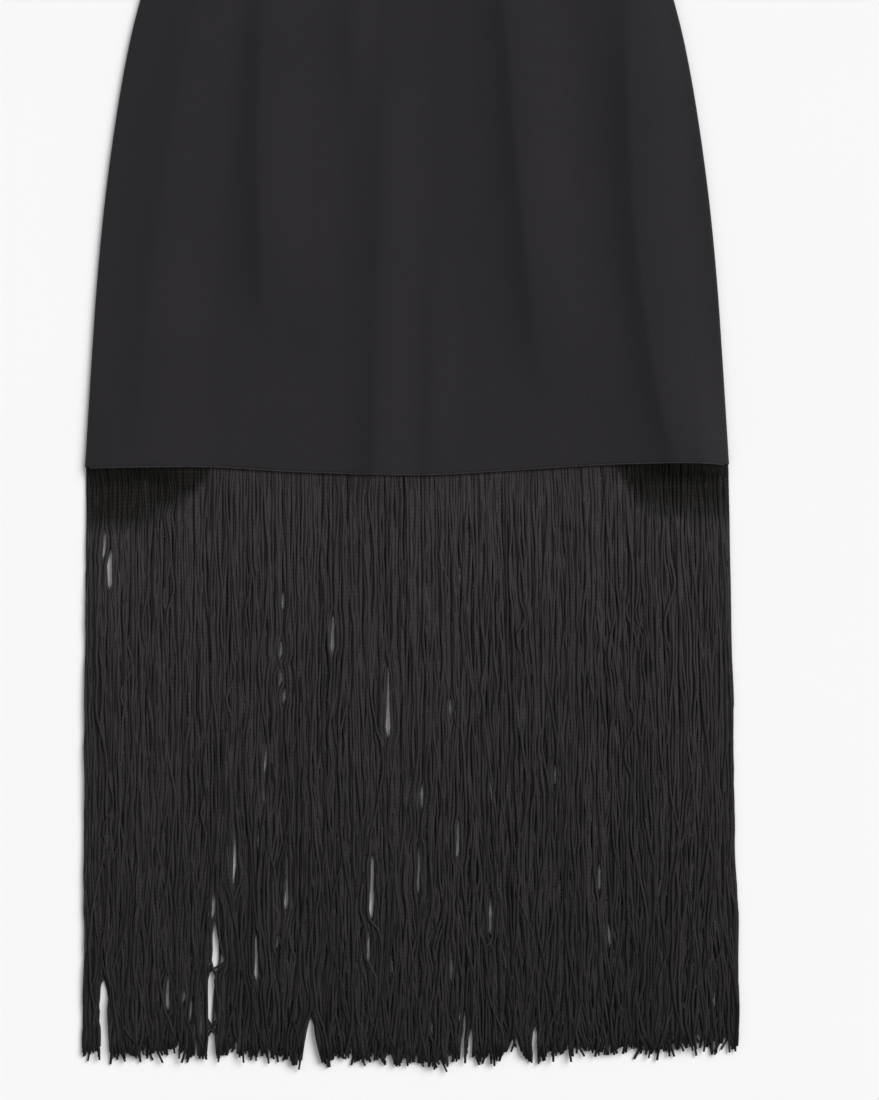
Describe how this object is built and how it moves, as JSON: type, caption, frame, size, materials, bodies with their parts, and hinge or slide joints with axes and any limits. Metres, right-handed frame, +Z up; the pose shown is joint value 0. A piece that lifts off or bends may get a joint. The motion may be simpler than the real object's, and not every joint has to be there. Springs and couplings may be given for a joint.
{
  "type": "fringe skirt",
  "caption": "Black cloth skirt laid flat, with a long fringe hanging from inside its hem and a concealed side zip.",
  "frame": {"origin": "on the surface that the skirt lies on, under the middle of its whole length and width", "axes": "+X across the skirt to the right of its front view (the wearer's left), +Y up the skirt from the fringe to the waist, +Z up off the surface"},
  "size_m": [0.4984, 0.909, 0.0176],
  "materials": {
    "crepe": "matt black crepe with a fine pebbled face",
    "fringe": "twisted black rayon cord with a soft lustre",
    "zip_tape": "matt black zip chain",
    "enamel": "black enamel"
  },
  "bodies": {
    "skirt": {"front_panel": "crepe", "back_panel": "crepe", "waistband_front": "crepe", "waistband_back": "crepe", "fringe_front": "fringe", "fringe_back": "fringe", "zip_chain": "zip_tape", "zip_slider": "enamel"},
    "pull": {"zip_pull": "enamel"}
  },
  "joints": [
    {"name": "pull_swing", "type": "hinge", "parent": "skirt", "child": "pull", "pos_m": [0.17147, 0.44875, 0.0032], "axis": [0, 0, 1], "range_deg": [0, 170]}
  ]
}
